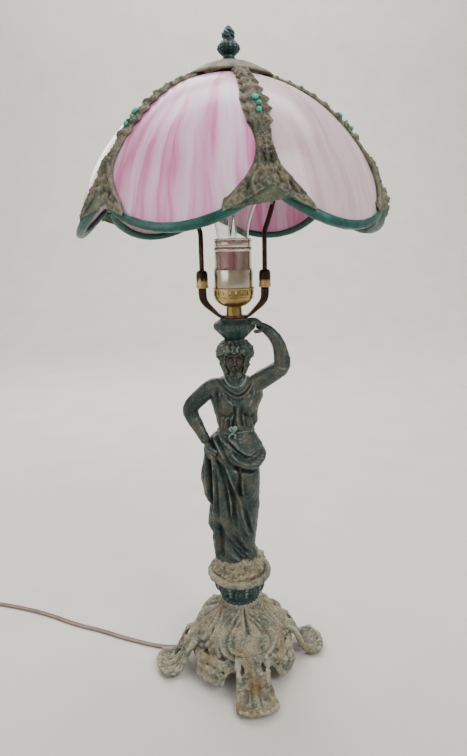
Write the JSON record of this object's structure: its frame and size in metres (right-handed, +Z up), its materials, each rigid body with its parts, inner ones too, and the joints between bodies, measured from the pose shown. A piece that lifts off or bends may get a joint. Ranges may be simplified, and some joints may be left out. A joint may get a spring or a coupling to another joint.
{
  "type": "figural table lamp",
  "caption": "Table lamp with a cast robed figure on a footed openwork base, a harp, a clear bulb and a bent-panel glass shade with scalloped rim.",
  "frame": {"origin": "centre of the four feet on the table", "axes": "+Z up along the lamp's axis, -Y the front of the figure, +X to the right seen from the front"},
  "size_m": [0.5938, 0.27, 0.6107],
  "materials": {
    "base_patina": "rough sandy cast spelter with grey-tan verdigris crust",
    "figure_patina": "cast spelter, dark green-black patina rubbed to brown on the high spots",
    "plated_steel": "zinc plated",
    "harp_steel": "bronzed steel, worn to brass in patches",
    "brass": "drawn brass, lightly tarnished",
    "nickel": "nickel plated drawn brass",
    "fibre_paper": "vulcanised fibre paper",
    "black_plastic": "moulded phenolic",
    "cord_plastic": "brown flexible vinyl",
    "bulb_aluminium": "drawn aluminium",
    "clear_glass": "clear blown glass",
    "filament": "drawn tungsten and nickel wire",
    "slag_glass": "bent opalescent glass, pink streaked",
    "filigree": "cast white metal filigree, tan and grey verdigris",
    "rim_patina": "soldered rim channel, teal verdigris",
    "finial_patina": "cast metal, dark teal patina"
  },
  "bodies": {
    "lamp_body": {"base_casting": "base_patina", "pedestal_cup": "base_patina", "figure_casting": "figure_patina", "raised_arm": "figure_patina", "hip_arm": "figure_patina", "threaded_rod": "plated_steel", "base_nut": "plated_steel", "base_washer": "plated_steel", "upper_nipple": "plated_steel", "cord_bushing": "black_plastic", "harp_saddle": "harp_steel", "neck_ring": "brass", "socket_cap": "brass", "socket_shell": "nickel", "insulating_liner": "fibre_paper", "socket_insulator": "black_plastic", "screw_shell": "brass", "centre_contact": "brass", "terminal_screws": "brass", "supply_lead": "cord_plastic", "cord": "cord_plastic", "cord_coil": "cord_plastic", "cord_tail": "cord_plastic", "plug_body": "cord_plastic", "plug_blades": "brass"},
    "harp_frame": {"harp": "harp_steel", "harp_top_stud": "harp_steel"},
    "left_sleeve": {"sleeve_left": "harp_steel"},
    "right_sleeve": {"sleeve_right": "harp_steel"},
    "shade": {"shade_crown": "filigree", "glass_panel_1": "slag_glass", "glass_panel_2": "slag_glass", "glass_panel_3": "slag_glass", "glass_panel_4": "slag_glass", "glass_panel_5": "slag_glass", "glass_panel_6": "slag_glass", "shade_rib_1": "filigree", "shade_rib_2": "filigree", "shade_rib_3": "filigree", "shade_rib_4": "filigree", "shade_rib_5": "filigree", "shade_rib_6": "filigree", "rim_band_1": "rim_patina", "rim_band_2": "rim_patina", "rim_band_3": "rim_patina", "rim_band_4": "rim_patina", "rim_band_5": "rim_patina", "rim_band_6": "rim_patina"},
    "finial_top": {"finial": "finial_patina"},
    "bulb": {"bulb_contact": "black_plastic", "bulb_base": "bulb_aluminium", "bulb_glass": "clear_glass", "glass_stem": "clear_glass", "filament_wires": "filament"},
    "knob": {"switch_knob": "black_plastic"}
  },
  "joints": [
    {"name": "harp_lift", "type": "slide", "parent": "lamp_body", "child": "harp_frame", "axis": [0, 0, 1], "range_m": [0, 0.02]},
    {"name": "left_sleeve_lift", "type": "slide", "parent": "harp_frame", "child": "left_sleeve", "axis": [0, 0, 1], "range_m": [0, 0.012]},
    {"name": "right_sleeve_lift", "type": "slide", "parent": "harp_frame", "child": "right_sleeve", "axis": [0, 0, 1], "range_m": [0, 0.012]},
    {"name": "shade_turn", "type": "hinge", "parent": "harp_frame", "child": "shade", "pos_m": [0, 0, 0.58], "axis": [0, 0, 1], "continuous": true},
    {"name": "finial_unscrew", "type": "hinge", "parent": "harp_frame", "child": "finial_top", "pos_m": [0, 0, 0.59], "axis": [0, 0, 1], "range_deg": [0, 1800]},
    {"name": "bulb_unscrew", "type": "hinge", "parent": "lamp_body", "child": "bulb", "pos_m": [0, 0, 0.42], "axis": [0, 0, 1], "range_deg": [0, 900]},
    {"name": "switch_turn", "type": "hinge", "parent": "lamp_body", "child": "knob", "pos_m": [0, 0.03, 0.399], "axis": [0, 1, 0], "continuous": true}
  ]
}
